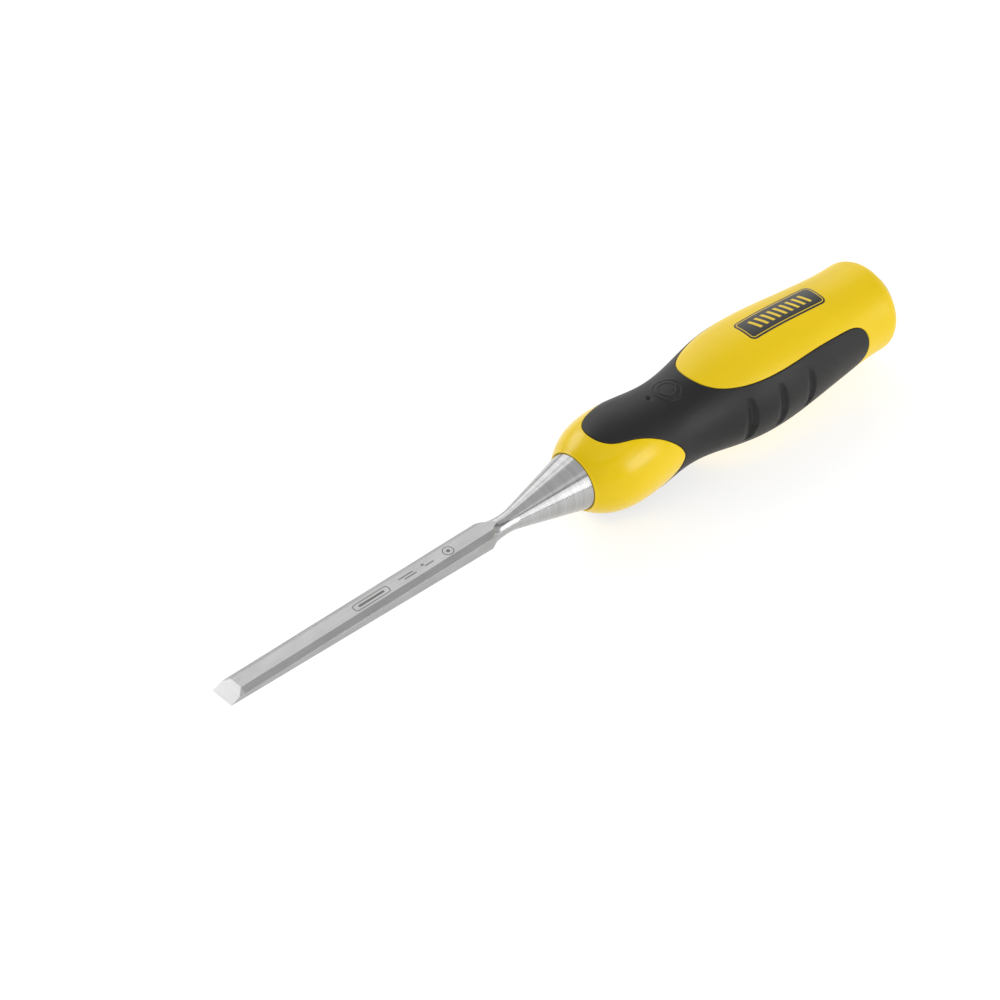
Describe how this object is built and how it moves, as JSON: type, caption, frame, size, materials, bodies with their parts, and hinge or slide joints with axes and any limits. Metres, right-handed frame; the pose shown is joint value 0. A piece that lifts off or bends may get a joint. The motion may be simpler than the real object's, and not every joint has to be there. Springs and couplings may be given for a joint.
{
  "type": "bench chisel",
  "caption": "Narrow bevel-edged bench chisel with a turned steel bolster, a hard plastic handle with a soft moulded grip, and a steel strike cap.",
  "frame": {"origin": "middle of the underside of the tool's box, under the handle's widest place", "axes": "+X from the cutting edge towards the butt, along the blade's flat back; +Z out of the blade's top face; +Y completes the set. The flat back faces -Z."},
  "size_m": [0.2514, 0.0356, 0.0355],
  "materials": {
    "blade_steel": "ground and satin",
    "core_plastic": "moulded, semi-gloss yellow",
    "grip_rubber": "moulded, matt black",
    "cap_steel": "turned and polished"
  },
  "bodies": {
    "root": {"blade": "blade_steel", "handle_core": "core_plastic", "grip_overmould": "grip_rubber", "strike_cap": "cap_steel"}
  },
  "joints": []
}
